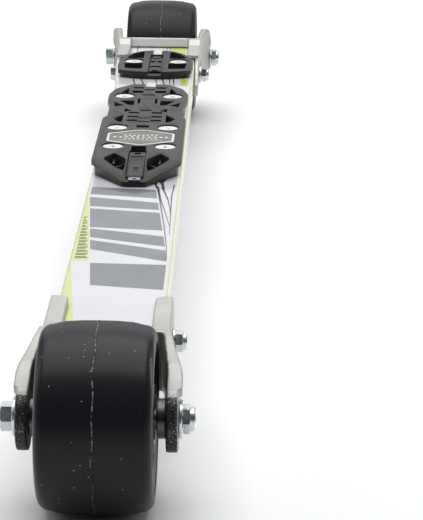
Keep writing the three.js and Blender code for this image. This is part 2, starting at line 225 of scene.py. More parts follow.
class Recipe:
    # a material and the short words its nodes are wired with
    def __init__(self, name, colour, roughness, metallic=0.0, **more):
        self.material = bpy.data.materials.new(name)
        self.material.use_nodes = True
        self.tree = self.material.node_tree
        self.shader = self.tree.nodes["Principled BSDF"]
        self.shader.inputs["Base Color"].default_value = (*colour, 1)
        self.shader.inputs["Roughness"].default_value = roughness
        self.shader.inputs["Metallic"].default_value = metallic
        for socket, value in more.items():
            self.shader.inputs[socket.replace("_", " ")].default_value = value
        self.place = self.tree.nodes.new("ShaderNodeTexCoord").outputs["Object"]

    def feed(self, node, socket, value):
        if hasattr(value, "is_output"):
            self.tree.links.new(value, node.inputs[socket])
        else:
            node.inputs[socket].default_value = value

    def add(self, kind, out=0, settings=None, **inputs):
        node = self.tree.nodes.new("ShaderNode" + kind)
        for name, value in (settings or {}).items():
            setattr(node, name, value)
        for name, value in inputs.items():
            self.feed(node, int(name[1:]) if name[0] == "n" and name[1:].isdigit() else name.replace("_", " "), value)
        return node.outputs[out]

    def sums(self, operation, *values):
        node = self.tree.nodes.new("ShaderNodeMath")
        node.operation = operation
        for i, value in enumerate(values):
            self.feed(node, i, value)
        return node.outputs[0]

    def axes(self, vector):
        node = self.tree.nodes.new("ShaderNodeSeparateXYZ")
        self.tree.links.new(vector, node.inputs[0])
        return node.outputs

    def stretched(self, x, y, z):
        return self.add("Mapping", Vector=self.place, Scale=(x, y, z))

    def noise(self, scale, detail=2.0, rough=0.5, where=None):
        return self.add("TexNoise", 0, Vector=where or self.place, Scale=scale, Detail=detail, Roughness=rough)

    def between(self, value, low, high, fromLow=0.0, fromHigh=1.0):
        return self.add("MapRange", Value=value, From_Min=fromLow, From_Max=fromHigh, To_Min=low, To_Max=high)

    def blend(self, share, first, second):
        node = self.tree.nodes.new("ShaderNodeMix")
        node.data_type = "RGBA"
        self.feed(node, 0, share)
        for socket, colour in ((6, first), (7, second)):
            self.feed(node, socket, colour if hasattr(colour, "is_output") else (*colour, 1))
        return node.outputs[2]

    def colour(self, value):
        self.tree.links.new(value, self.shader.inputs["Base Color"])

    def roughness(self, value):
        self.tree.links.new(value, self.shader.inputs["Roughness"])

    def bumps(self, *layers):
        # each layer is (height, strength, distance in millimetres)
        normal = None
        for height, strength, distance in layers:
            node = self.tree.nodes.new("ShaderNodeBump")
            self.feed(node, "Height", height)
            node.inputs["Strength"].default_value = strength
            node.inputs["Distance"].default_value = distance * mm
            if normal:
                self.tree.links.new(normal, node.inputs["Normal"])
            normal = node.outputs[0]
        self.tree.links.new(normal, self.shader.inputs["Normal"])


def tyreRubber():
    m = Recipe("tyreRubber", (0.012, 0.011, 0.014), 0.36, Specular_IOR_Level=0.24)
    cloud = m.noise(28, 4, 0.6)
    dust = m.add("TexVoronoi", "Distance", Vector=m.place, Scale=300.0)
    cell = m.add("TexVoronoi", "Color", Vector=m.place, Scale=300.0)
    picked = m.sums("GREATER_THAN", m.add("SeparateColor", 0, Color=cell), 0.6)
    speck = m.sums("MULTIPLY", m.sums("LESS_THAN", dust, 0.075), picked)
    scuff = m.between(m.noise(9, 5, 0.7), 0.0, 0.35, 0.52, 0.75)
    base = m.blend(scuff, (0.0098, 0.0088, 0.0125), (0.024, 0.023, 0.028))
    # the raised moulding line is rubbed pale in places, and a painted highlight makes it paler still towards the top of
    # the tyre
    halfBase, axleHeight, ridgeFoot = 350 * mm, 41 * mm, 40.86 * mm
    where = m.axes(m.place)
    along = m.sums("SUBTRACT", m.sums("ABSOLUTE", where[1]), halfBase)
    above = m.sums("SUBTRACT", where[2], axleHeight)
    squares = m.sums("ADD", m.sums("MULTIPLY", along, along), m.sums("MULTIPLY", above, above))
    radius = m.sums("SQRT", squares)
    # painted highlight: the ridge is drawn paler the higher it stands, as if lit from overhead
    paintedTopLight = m.between(where[2], 0, 1, 10 * mm, 60 * mm)
    broken = m.between(m.noise(420, 4, 0.75), 0, 1, 0.47, 0.6)
    rubbedAndLit = m.sums("MULTIPLY", broken, m.sums("ADD", paintedTopLight, 0.25))
    ridge = m.sums("MULTIPLY", m.sums("GREATER_THAN", radius, ridgeFoot), rubbedAndLit)
    base = m.blend(ridge, base, (0.33, 0.32, 0.31))
    m.colour(m.blend(speck, base, (0.5, 0.5, 0.47)))
    m.roughness(m.between(cloud, 0.28, 0.46, 0.3, 0.7))
    m.bumps((m.noise(1100, 3, 0.6), 0.18, 0.04), (m.noise(60, 3), 0.25, 0.12))
    return m.material


def castAluminium():
    m = Recipe("castAluminium", (0.6, 0.59, 0.56), 0.5, 0.7)
    cloud = m.noise(35, 4, 0.6)
    grain = m.noise(900, 4, 0.65)
    tone = m.blend(m.between(cloud, 0, 1, 0.35, 0.65), (0.5, 0.495, 0.47), (0.6, 0.59, 0.56))
    pit = m.between(grain, 0, 1, 0.58, 0.68)
    tone = m.blend(m.sums("MULTIPLY", pit, 0.6), tone, (0.33, 0.325, 0.31))
    # the blunt ends of the arms carry painted shade on the faces that point along the ski, sprinkled with small painted
    # glints
    facing = m.axes(m.place.node.outputs["Normal"])[1]
    fromMiddle = m.sums("ABSOLUTE", m.axes(m.place)[1])
    # the arms are duller than the part that grips the shaft
    arms = m.between(fromMiddle, 0, 1, 0.3, 0.335)
    tone = m.blend(m.sums("MULTIPLY", arms, 0.45), tone, (0.3, 0.295, 0.28))
    blunt = m.between(m.sums("ABSOLUTE", facing), 0, 1, 0.3, 0.55)
    outer = m.between(fromMiddle, 0, 1, 0.352, 0.357)
    # painted shade with painted glints: a near-black colour broken by small pale spots
    glintSpots = m.between(m.noise(1300, 2, 0.7), 0, 1, 0.56, 0.66)
    shadeWithGlints = m.blend(glintSpots, (0.035, 0.034, 0.033), (0.3, 0.29, 0.28))
    m.colour(m.blend(m.sums("MULTIPLY", blunt, outer), tone, shadeWithGlints))
    m.roughness(m.between(cloud, 0.42, 0.58, 0.3, 0.7))
    m.bumps((grain, 0.5, 0.18), (m.noise(140, 3), 0.3, 0.3))
    return m.material


def zincPlate():
    m = Recipe("zincPlate", (0.66, 0.72, 0.74), 0.24, 1.0)
    cloud = m.noise(160, 3, 0.55)
    m.colour(m.blend(m.between(cloud, 0, 1, 0.35, 0.65), (0.58, 0.66, 0.69), (0.76, 0.79, 0.78)))
    m.roughness(m.between(m.noise(420, 3), 0.16, 0.34, 0.3, 0.7))
    m.bumps((m.noise(700, 2), 0.12, 0.05))
    return m.material


def brightSteel():
    m = Recipe("brightSteel", (0.93, 0.93, 0.94), 0.3, 0.5)
    streak = m.noise(500, 2, where=m.stretched(1, 8, 1))
    m.roughness(m.between(streak, 0.24, 0.4, 0.3, 0.7))
    m.colour(m.blend(m.between(m.noise(240, 2), 0, 1, 0.3, 0.7), (0.88, 0.88, 0.9), (0.97, 0.97, 0.97)))
    m.bumps((streak, 0.08, 0.03))
    return m.material


def shadedSteel():
    # painted shade: the spacer bushes' steel is coloured dark for the shadow between the fork eyes and the tyres
    m = Recipe("shadedSteel", (0.1, 0.105, 0.11), 0.32, 0.9)
    m.roughness(m.between(m.noise(300, 3), 0.24, 0.42, 0.3, 0.7))
    m.colour(m.blend(m.between(m.noise(120, 3), 0, 1, 0.35, 0.65), (0.075, 0.08, 0.085), (0.17, 0.18, 0.185)))
    m.bumps((m.noise(600, 2), 0.1, 0.04))
    return m.material


def bearingSteel():
    m = Recipe("bearingSteel", (0.5, 0.51, 0.53), 0.25, 1.0)
    m.roughness(m.between(m.noise(300, 3), 0.18, 0.36, 0.3, 0.7))
    m.colour(m.blend(m.between(m.noise(90, 3), 0, 1, 0.35, 0.65), (0.28, 0.287, 0.3), (0.42, 0.425, 0.44)))
    return m.material


def platePlastic():
    m = Recipe("platePlastic", (0.032, 0.029, 0.027), 0.4, Specular_IOR_Level=0.27)
    grain = m.noise(2200, 2, 0.6)
    cloud = m.noise(40, 4, 0.6)
    m.colour(m.blend(m.between(cloud, 0, 1, 0.3, 0.7), (0.025, 0.0222, 0.0205), (0.043, 0.0385, 0.035)))
    m.roughness(m.between(grain, 0.3, 0.46, 0.3, 0.7))
    m.bumps((grain, 0.2, 0.05), (m.noise(180, 2), 0.1, 0.08))
    return m.material


def hubNylon():
    m = Recipe("hubNylon", (0.05, 0.05, 0.053), 0.48)
    fibre = m.noise(600, 3, 0.6, where=m.stretched(1, 1, 3))
    m.colour(m.blend(m.between(fibre, 0, 1, 0.4, 0.7), (0.04, 0.04, 0.043), (0.085, 0.085, 0.088)))
    m.roughness(m.between(fibre, 0.4, 0.6, 0.3, 0.7))
    m.bumps((fibre, 0.2, 0.06))
    return m.material


def ink(name, colour, second, roughness=0.24):
    # printed under the lacquer: even gloss, with a fine screen in the colour
    m = Recipe(name, colour, roughness, Coat_Weight=0.35, Coat_Roughness=0.08)
    screen = m.noise(1500, 1)
    m.colour(m.blend(m.between(screen, 0, 1, 0.35, 0.65), colour, second))
    m.roughness(m.between(m.noise(60, 3), roughness, roughness + 0.1, 0.35, 0.65))
    return m.material


def badgeFilm(name, colour, second):
    m = Recipe(name, colour, 0.36)
    brushed = m.noise(420, 3, 0.6, where=m.stretched(0.25, 3, 1))
    m.colour(m.blend(m.between(brushed, 0, 1, 0.3, 0.7), colour, second))
    m.roughness(m.between(brushed, 0.3, 0.44, 0.3, 0.7))
    m.bumps((brushed, 0.12, 0.03))
    return m.material


def shaftLacquer():
    # gloss white, with slanted green edges on the left and a green upper band on the right side
    edges = {"left": -25.5, "right": 25.5, "wedgeStart": -40, "wedgeSlope": -0.0669, "wedgeFoot": -25.3,
             "cut": -189.5, "nearStart": -176, "nearSlope": -0.0925, "bandLow": 43.5, "bandHigh": 51.5}
    lime = (0.64, 0.7, 0.22)
    m = Recipe("shaftLacquer", (0.8, 0.79, 0.83), 0.2, Coat_Weight=0.5, Coat_Roughness=0.06)
    cloud = m.noise(16, 3)
    white = m.blend(m.between(cloud, 0, 1, 0.3, 0.7), (0.71, 0.695, 0.74), (0.78, 0.77, 0.805))
    x, y, z = (m.sums("MULTIPLY", axis, 1 / mm) for axis in m.axes(m.place))

    def wedge(start, slope, foot, low, high):
        # left of a line that leaves the edge at start, and between low and high along the ski
        line = m.sums("MULTIPLY_ADD", m.sums("SUBTRACT", y, start), slope, foot)
        inside = m.sums("LESS_THAN", x, line)
        along = m.sums("MULTIPLY", m.sums("GREATER_THAN", y, low), m.sums("LESS_THAN", y, high))
        return m.sums("MULTIPLY", inside, along)

    upper = wedge(edges["wedgeStart"], edges["wedgeSlope"], edges["wedgeFoot"], edges["cut"], edges["wedgeStart"])
    lower = wedge(edges["nearStart"], edges["nearSlope"], edges["wedgeFoot"], -300, edges["nearStart"])
    sides = m.sums("GREATER_THAN", m.sums("ABSOLUTE", x), edges["right"] - 1.3)
    level = m.sums("MULTIPLY", m.sums("GREATER_THAN", z, edges["bandLow"]), m.sums("LESS_THAN", z, edges["bandHigh"]))
    green = m.sums("MAXIMUM", m.sums("MAXIMUM", upper, lower), m.sums("MULTIPLY", sides, level))
    shade = m.blend(m.between(m.noise(40, 3), 0, 1, 0.3, 0.7), lime, (0.7, 0.75, 0.3))
    pale = m.between(m.noise(9, 2), 0.45, 0.85, 0.35, 0.65)
    tinted = m.blend(m.sums("MULTIPLY", sides, pale), white, (0.82, 0.84, 0.42))
    m.colour(m.blend(green, tinted, shade))
    m.roughness(m.between(m.noise(120, 4, 0.6), 0.14, 0.27, 0.3, 0.7))
    m.bumps((m.noise(45, 3), 0.06, 0.1))
    return m.material


def foamCore():
    m = Recipe("foamCore", (0.7, 0.62, 0.42), 0.85)
    cells = m.add("TexVoronoi", "Distance", Vector=m.place, Scale=900.0)
    m.colour(m.blend(cells, (0.55, 0.47, 0.3), (0.78, 0.7, 0.5)))
    m.bumps((cells, 0.4, 0.2))
    return m.material


finishes = {
    "tyre": tyreRubber(), "cast": castAluminium(), "zinc": zincPlate(), "screw": brightSteel(),
    "bush": shadedSteel(), "bearing": bearingSteel(), "plastic": platePlastic(), "hub": hubNylon(),
    "shaft": shaftLacquer(),
    "foam": foamCore(),
    "grey": ink("greyInk", (0.155, 0.176, 0.2), (0.182, 0.205, 0.228)),
    "black": ink("blackInk", (0.035, 0.037, 0.05), (0.065, 0.067, 0.082)),
    "lime": ink("limeInk", (0.5, 0.56, 0.05), (0.55, 0.62, 0.08)),
    "moss": ink("mossInk", (0.07, 0.1, 0.01), (0.1, 0.13, 0.015)),
    "badge": badgeFilm("badgeFilm", (0.13, 0.125, 0.112), (0.185, 0.18, 0.162)),
    "badgeEdge": badgeFilm("badgeEdge", (0.72, 0.72, 0.68), (0.82, 0.82, 0.79)),
}
print("materials ready:", len(finishes))


# ---- tyres

tyreSizes = {"radius": 41, "half": 24.4, "shoulder": 5, "crownEdge": 39.2, "bore": 27, "steps": 128,
             "flashHalf": 0.22, "flashRise": 0.12, "valley": 0.18, "flashWave": 0.3, "waves": 13}


def makeTyre(end):
    size = tyreSizes
    base = size["radius"] - size["flashRise"]
    edge = size["half"] - size["shoulder"]
    foot = size["flashHalf"] + 0.15
    half = [(size["flashHalf"], size["radius"]), (foot, base - size["valley"]), (foot + 0.7, base - 0.03),
            (7, base - 0.06), (14, 40.4)]
    half += arc(edge, size["crownEdge"] - size["shoulder"], size["shoulder"], 90, 0, 8)
    half += [(24.25, 32.6), (23.6, 32.1), (23.5, 31.3), (23.9, 30.9), (23.5, 29), (22.8, size["bore"])]
    profile = [(-x, r) for x, r in reversed(half)] + half
    centre = middle(f"{end}_hub")
    tyre = spun(profile, (0, centre.y, centre.z), size["steps"])
    for vertex in tyre.data.vertices:
        # the moulding line wanders a little to each side
        if abs(vertex.co.x) < (foot + 0.8) * mm:
            turn = math.atan2(vertex.co.z - centre.z, vertex.co.y - centre.y)
            wander = math.sin(size["waves"] * turn) + 0.6 * math.sin(7 * turn + 1)
            vertex.co.x += size["flashWave"] * wander * mm
    pickUp(tyre)
    bpy.ops.object.shade_smooth_by_angle(angle=math.radians(32))
    return finishPiece(tyre, f"{end}_tyre_moulded", f"{end}_wheel", "tyre_rubber", finishes["tyre"], f"{end}_tyre")


# ---- hubs and bearings

hubSizes = {"rim": 26.7, "boss": 14.6, "bore": 11.3, "inner": 9.3, "seat": 16.7, "holes": 6, "holeRing": 18.2,
            "hole": 2.3, "rib": 0.8, "ribReach": 17}


def makeHub(end):
    size = hubSizes
    half = [(22, size["rim"]), (22.4, 26.3), (22.4, 22.4), (22, 22), (5.5, 21), (5.5, 15.5), (23.4, size["boss"]),
            (23.9, 14.1), (23.9, 11.8), (23.4, size["bore"]), (size["seat"], size["bore"]),
            (size["seat"], size["inner"])]
    profile = [(-x, r) for x, r in reversed(half)] + half
    centre = middle(f"{end}_hub")
    hub = spun(profile, (0, centre.y, centre.z), 72)
    ribs = []
    holes = []
    for k in range(size["holes"]):
        turn = 2 * math.pi * k / size["holes"]
        y = centre.y + size["holeRing"] * mm * math.cos(turn)
        z = centre.z + size["holeRing"] * mm * math.sin(turn)
        holes.append(rod(-10, 10, size["hole"], y, z, 20))
        rib = beam([(-size["rib"], 14), (size["rib"], 14), (size["rib"], 21.8), (-size["rib"], 21.8)],
                   -size["ribReach"], size["ribReach"])
        editAll(rib)
        bpy.ops.transform.rotate(value=turn + math.pi / 6, orient_axis="X", center_override=(0, 0, 0))
        bpy.ops.transform.translate(value=(0, centre.y, centre.z))
        ribs.append(settle(rib))
    cutAway(hub, ribs, "UNION")
    cutAway(hub, holes)
    pickUp(hub)
    bpy.ops.object.shade_smooth_by_angle(angle=math.radians(30))
    return finishPiece(hub, f"{end}_hub_ribbed", f"{end}_wheel", "hub_nylon", finishes["hub"], f"{end}_hub")


bearingSizes = {"seat": 17, "face": 24, "outer": 11, "track": 9.4, "inner": 5.5, "bore": 4.3, "shield": 23.5,
                "chamfer": 0.35}


def makeBearing(end, hand):
    size = bearingSizes
    side = hands[hand]
    c, seat, face, shield = size["chamfer"], size["seat"], size["face"], size["shield"]
    # the outer race carries the dished shield that covers the balls
    outer = [(seat, size["outer"] - c), (seat + c, size["outer"]), (face - c, size["outer"]),
             (face, size["outer"] - c), (face, size["track"] + 0.3), (shield, size["track"]),
             (shield, 8.6), (shield - 0.35, 8.2), (shield - 0.35, 6.9), (shield, 6.5),
             (shield, 5.9), (shield - 0.5, 5.9), (shield - 0.5, 6.3), (shield - 0.85, 6.7),
             (shield - 0.85, 8.4), (shield - 0.5, size["track"]), (seat, size["track"])]
    inner = [(seat, size["bore"] + c), (seat + c, size["bore"]), (face - c, size["bore"]),
             (face, size["bore"] + c), (face, size["inner"] - c), (face - c, size["inner"]),
             (seat + c, size["inner"]), (seat, size["inner"] - c)]
    centre = middle(f"{end}_hub")
    for name, profile, body in (("outer_race", outer, f"{end}_wheel"), ("inner_race", inner, "frame")):
        piece = spun([(side * x, r) for x, r in profile], (0, centre.y, centre.z), 48)
        bpy.ops.object.shade_smooth_by_angle(angle=math.radians(25))
        node = f"{end}_bearing_{hand}_{name}"
        finishPiece(piece, f"{node}_ground", body, "bearing_steel", finishes["bearing"], node)


for end in ends:
    makeTyre(end)
    makeHub(end)
    for hand in hands:
        makeBearing(end, hand)
print("wheels made")


# ---- bolts, nuts, washers and pins

fastenerSizes = {"axleFlats": 11, "clampFlats": 8.6, "edge": 0.14, "pitch": 1.25, "threadDepth": 0.32}


def hexBlock(x0, x1, flats, outer, y, z):
    # a hexagon with flats above and below, its outer end turned to a cone
    corner = flats / math.sqrt(3)
    putDown()
    bpy.ops.mesh.primitive_cylinder_add(vertices=6, radius=corner * mm, depth=(x1 - x0) * mm,
                                        location=((x0 + x1) / 2 * mm, y, z), rotation=(0, math.pi / 2, 0))
    hexagon = settle(bpy.context.object)
    near, far = (x0 - 1, x1) if outer > 0 else (x1 + 1, x0)
    coneStart = far - outer * 0.3 * (corner - flats / 2) - outer * 0.5
    cone = spun([(near, centreLine), (near, corner + 1), (coneStart, corner + 0.1),
                 (far, flats / 2 - 0.25), (far, centreLine)], (0, y, z), 48)
    return cutAway(hexagon, [cone], "INTERSECT")


def threaded(x0, x1, radius, tip, y, z, pitch, depth):
    # a shank whose rings near the tip stand for the thread
    profile = [(x0, centreLine), (x0, radius)]
    x = x1 - 9 if x1 - x0 > 20 else x0 + 0.5
    while x < x1 - pitch * 1.2:
        profile += [(x, radius), (x + pitch * 0.4, radius - depth), (x + pitch * 0.6, radius - depth)]
        x += pitch
    profile += [(x, radius), (x1, tip), (x1, centreLine)]
    return spun(profile, (0, y, z), 40)


def makeBolt(end, kind, flats, headFar, headNear, shank, reach, bodyRadius):
    size = fastenerSizes
    y, z = middle(f"{end}_{kind}_nut").yz
    head = hexBlock(headFar, headNear, flats, -1, y, z)
    dish = rod(headFar - 1, headFar + 0.35, flats * 0.3, y, z)
    cutAway(head, [dish])
    collar = rod(headNear - 1, headNear, flats / 2 - 0.1, y, z, 40)
    body = threaded(headNear - 1.5, reach, shank, shank * 0.72, y, z, size["pitch"] * bodyRadius, size["threadDepth"])
    cutAway(head, [collar], "UNION")
    cutAway(head, [body], "UNION")
    roundEdges(head, size["edge"], 2, 30)
    node = f"{end}_{kind}_bolt"
    finishPiece(head, f"{node}_forged", "frame", "zinc_steel", finishes["zinc"], node)


def makeNut(end, kind, flats, x0, x1, collarFrom, bore):
    y, z = middle(f"{end}_{kind}_nut").yz
    nut = hexBlock(x0, collarFrom, flats, 1, y, z)
    wall = flats / 2 - bore
    broad, middling, slim = (bore + share * wall for share in (0.75, 0.55, 0.35))
    crown = spun([(x0 + 1, centreLine), (x0 + 1, broad), (x1 - 0.9, broad), (x1 - 0.25, middling), (x1, slim),
                  (x1, centreLine)], (0, y, z), 40)
    cutAway(nut, [crown], "UNION")
    cutAway(nut, [rod(x0 - 2, x1 + 2, bore, y, z, 40)])
    roundEdges(nut, fastenerSizes["edge"], 2, 30)
    node = f"{end}_{kind}_nut"
    finishPiece(nut, f"{node}_locking", "frame", "zinc_steel", finishes["zinc"], node)


def makeRing(node, x0, x1, bore, outer, chamfer, slot="zinc_steel", finish="zinc", step=None):
    # a washer or bush; step is the face and radius of a narrower nose on the wheel side
    centre = middle(node)
    profile = [(x0, bore), (x0, outer - chamfer), (x0 + chamfer, outer), (x1 - chamfer, outer),
               (x1, outer - chamfer), (x1, bore)]
    if step:
        profile[1:2] = [(x0, step[1] - 0.2), (x0 + 0.2, step[1]), (step[0], step[1]), (step[0], outer - chamfer)]
        profile[5] = (step[0] + chamfer, outer)
    side = 1 if centre.x > 0 else -1
    piece = spun([(side * x, r) for x, r in profile], (0, centre.y, centre.z), 48)
    bpy.ops.object.shade_smooth_by_angle(angle=math.radians(25))
    finishPiece(piece, f"{node}_turned", "frame", slot, finishes[finish], node)


for end in ends:
    makeBolt(end, "axle", fastenerSizes["axleFlats"], -41, -35.9, 4, 40.2, 1)
    makeNut(end, "axle", fastenerSizes["axleFlats"], 35.9, 41, 39.3, 4.3)
    makeBolt(end, "clamp", fastenerSizes["clampFlats"], -32.7, -28.7, 3, 35.1, 0.8)
    makeNut(end, "clamp", fastenerSizes["clampFlats"], 30.2, 35.2, 33.8, 3.3)
    makeRing(f"{end}_clamp_washer", 28.7, 29.9, 3.3, 6, 0.2)
    for hand in hands:
        makeRing(f"{end}_axle_washer_{hand}", 34.3, 35.6, 4.3, 8.4, 0.25)
        makeRing(f"{end}_spacer_bush_{hand}", 24.3, 28.5, 4.3, 8.5, 0.3, finish="bush", step=(25, 5.6))
    pinCentre = middle(f"{end}_locating_pin")
    pinHalf = [(29.2, centreLine), (29.2, 1.6), (28.8, 2)]
    pinProfile = [(-x, r) for x, r in pinHalf] + pinHalf[::-1]
    pin = spun(pinProfile, (0, pinCentre.y, pinCentre.z), 24)
    bpy.ops.object.shade_smooth_by_angle(angle=math.radians(25))
    finishPiece(pin, f"{end}_locating_pin_ground", "frame", "bearing_steel", finishes["bearing"], f"{end}_locating_pin")
print("fasteners made")


# ---- cast forks

forkSizes = {"grain": 0.6, "soften": 7, "keep": 0.45}


def makeFork(end):
    # the casting's edges are rounded all over, as they leave the mould
    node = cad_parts[f"{end}_fork"]
    putDown()
    fork = node.copy()
    fork.data = node.data.copy()
    bpy.context.collection.objects.link(fork)
    fork.parent = None
    settle(fork)
    modify(fork, "REMESH", mode="VOXEL", voxel_size=forkSizes["grain"] * mm)
    modify(fork, "SMOOTH", factor=0.5, iterations=forkSizes["soften"])
    modify(fork, "DECIMATE", ratio=forkSizes["keep"])
    pickUp(fork)
    bpy.ops.object.shade_smooth()
    return finishPiece(fork, f"{end}_fork_cast", "frame", "cast_aluminium", finishes["cast"], f"{end}_fork")


for end in ends:
    makeFork(end)
print("forks made")


# ---- shaft

shaftSizes = {"width": 51, "height": 18, "top": 58, "half": 303.5, "wall": 2.2, "corner": 2.5, "screwX": 15,
              "screwRows": (2, 45, 124.5, 237.5), "shank": 2.7, "clamp": 3.3, "pin": 2.3}


def squareTube(width, height, half, corner, segments):
    putDown()
    centreZ = shaftSizes["top"] - shaftSizes["height"] / 2
    bpy.ops.mesh.primitive_cube_add(size=mm, location=(0, 0, centreZ * mm), scale=(width, 2 * half, height))
    tube = settle(bpy.context.object)
    along = lambda e: abs(tube.data.vertices[e.vertices[0]].co.y - tube.data.vertices[e.vertices[1]].co.y) > half * mm
    editWhere(tube, "EDGE", along)
    bpy.ops.mesh.bevel(offset=corner * mm, segments=segments, affect="EDGES")
    return settle(tube)


def makeShaft():
    size = shaftSizes
    shell = squareTube(size["width"], size["height"], size["half"], size["corner"], 6)
    inside = 2 * size["wall"]
    hollow = squareTube(size["width"] - inside, size["height"] - inside, size["half"] + 5, 1, 3)
    cutAway(shell, [hollow])
    low, high = size["top"] - 13.3, size["top"] + 2
    holes = [post(side * size["screwX"], y, low, high, size["shank"], 20)
             for y in size["screwRows"] for side in (-1, 1)]
    for end in ends:
        clamp, pinPlace = middle(f"{end}_clamp_nut"), middle(f"{end}_locating_pin")
        holes.append(rod(-40, 40, size["clamp"], clamp.y, clamp.z, 20))
        holes.append(rod(-40, 40, size["pin"], pinPlace.y, pinPlace.z, 20))
    cutAway(shell, holes)
    pickUp(shell)
    bpy.ops.object.shade_smooth_by_angle(angle=math.radians(30))
    return finishPiece(shell, "shaft_shell_lacquered", "frame", "shaft_gloss", finishes["shaft"], "shaft_shell")


makeShaft()

# printed shapes on the shaft's top: slanted bars, brush lines and a hatched band
printSizes = {"level": 57.98, "thick": 0.07, "leftTop": (-24, -57), "leftTurn": (-14.4, -192),
              "leftFoot": (-12.1, -226), "rightTop": (12.3, -60), "rightFoot": (23.5, -192), "flat": 22.8}


def between(value, first, last):
    # x on the line through two (x, y) points, at the height y = value
    return first[0] + (last[0] - first[0]) * (value - first[1]) / (last[1] - first[1])


def leftLine(y):
    size = printSizes
    above = y > size["leftTurn"][1]
    first, last = ("leftTop", "leftTurn") if above else ("leftTurn", "leftFoot")
    return max(between(y, size[first], size[last]), -size["flat"])


def rightLine(y):
    return min(between(y, printSizes["rightTop"], printSizes["rightFoot"]), printSizes["flat"])


def patch(points, rise=0.0):
    level = printSizes["level"] + rise
    return slab(points, level, level + printSizes["thick"])


def stroke(points, widths):
    # a tapering line; widths are its full width at each point
    left = [(x - w / 2, y) for (x, y), w in zip(points, widths)]
    right = [(x + w / 2, y) for (x, y), w in zip(points, widths)]
    return patch(left + right[::-1])


barRows = [((-57.3, -71.1), (-61.2, -77.8)), ((-76.9, -94), (-86.4, -99.5)), ((-98.6, -132.1), (-105, -136.4)),
           ((-134.7, -149.4), (-146.7, -163.6)), ((-154.4, -169.5), (-170.2, -188)), ((-192, -225.7), (-193.5, -231.5))]
grey = []
for (leftHigh, leftLow), (rightHigh, rightLow) in barRows:
    grey.append(patch([(leftLine(leftHigh), leftHigh), (rightLine(rightHigh), rightHigh),
                       (rightLine(rightLow), rightLow), (leftLine(leftLow), leftLow)]))
finishPiece(joinAll("print_bars", grey), "print_bars", "frame", "shaft_gloss", finishes["grey"])

brush = [stroke([(13.2, -55), (15.8, -81), (18.8, -103), (22, -128)], [1.2, 0.8, 0.6, 0.3]),
         stroke([(13.4, -61), (19.2, -127), (21.6, -161), (22.6, -185)], [0.9, 0.6, 0.5, 0.3]),
         stroke([(15.4, -55), (19.6, -80), (21.7, -103)], [1.4, 0.8, 0.4]),
         stroke([(22, -51), (21.3, -75), (22.1, -117), (22.5, -144)], [0.7, 0.8, 0.5, 0.3]),
         stroke([(12.5, -38), (11.5, -48), (13, -60)], [2.4, 1.6, 0.8]),
         stroke([(17.5, -36), (15, -47), (16.8, -60)], [1.6, 2, 0.8]),
         stroke([(-13.8, 204.6), (-11.8, 188)], [0.9, 0.7]), stroke([(-8.7, 204.6), (-6, 188)], [0.8, 1]),
         stroke([(1, 204.6), (2.8, 188)], [0.8, 0.6]), stroke([(5.6, 204.6), (7.4, 188)], [1, 0.7]),
         stroke([(10.3, 204.6), (11.3, 186)], [0.7, 0.6]), stroke([(12.9, 204.6), (13.8, 186)], [0.9, 0.7]),
         stroke([(-15, 276), (-15.6, 318)], [0.9, 0.7]), stroke([(5, 273), (5.6, 320)], [0.8, 0.6]),
         stroke([(7, 272), (8, 318)], [0.7, 0.6])]
finishPiece(joinAll("print_lines", brush), "print_lines", "frame", "shaft_gloss", finishes["black"])

limes = [patch([(17.8, 207), (21.6, 207), (22, 186), (18.2, 186)]),
         patch([(8, 276), (18.4, 274), (18.4, 303), (9, 303)])]
finishPiece(joinAll("print_patches", limes), "print_patches", "frame", "shaft_gloss", finishes["lime"])

# pairs of short strokes, every other one a little shorter
hatchSizes = {"start": -114, "step": -5.2, "count": 14, "tall": 3.4, "left": -23.0, "leftDrift": 0.5,
              "rightStart": -21.2, "rightEnd": -16.2, "pairStep": 0.55, "stroke": 0.36, "shorter": 0.9, "slant": 0.3}


def hatchStrokes():
    size = hatchSizes
    strokes = []
    for k in range(size["count"]):
        share = k / (size["count"] - 1)
        left = size["left"] + size["leftDrift"] * share
        for place in range(2):
            high = size["start"] + k * size["step"] - size["tall"] * size["pairStep"] * place
            low = high - size["tall"] * size["stroke"]
            right = size["rightStart"] + (size["rightEnd"] - size["rightStart"]) * share
            right -= size["shorter"] * ((k + place) % 2)
            outline = [(left, high), (right, high + size["slant"]), (right, low + size["slant"]), (left, low)]
            strokes.append(patch(outline, 0.01))
    return strokes


finishPiece(joinAll("print_hatch", hatchStrokes()), "print_hatch", "frame", "shaft_gloss", finishes["moss"])
print("shaft and its printing made")


# ---- boot plates

plateSizes = {"base": 58.3, "toeTop": 66, "heelTop": 63, "lip": 2.6, "floor": 59.5, "screwX": 15,
              "toeRows": (2, 45, 124.5), "heelRow": 237.5, "headHole": 6.5, "shankHole": 2.7, "sink": 0.4,
              "headThick": 2, "edge": 0.35, "above": 80}


def paired(points):
    return [points, mirrorX(points)]


def pockets(outlines, floor, corner=0.6):
    return [slab(points, floor, plateSizes["above"], corner, 2) for outline in outlines for points in paired(outline)]


def across(outlines, floor, corner=0.4):
    return [slab(bothSides(outline), floor, plateSizes["above"], corner, 2) for outline in outlines]


def step(x0, x1, y0, y1):
    return [(x0, y0), (x1, y0), (x1, y1), (x0, y1)]


def seats(rows, top):
    size = plateSizes
    seat = top - size["sink"] - size["headThick"]
    holes = []
    for y in rows:
        for side in (-1, 1):
            x = side * size["screwX"]
            holes.append(post(x, y, seat, size["above"], size["headHole"], 40))
            holes.append(post(x, y, 50, size["above"] - 1, size["shankHole"], 20))
    return holes


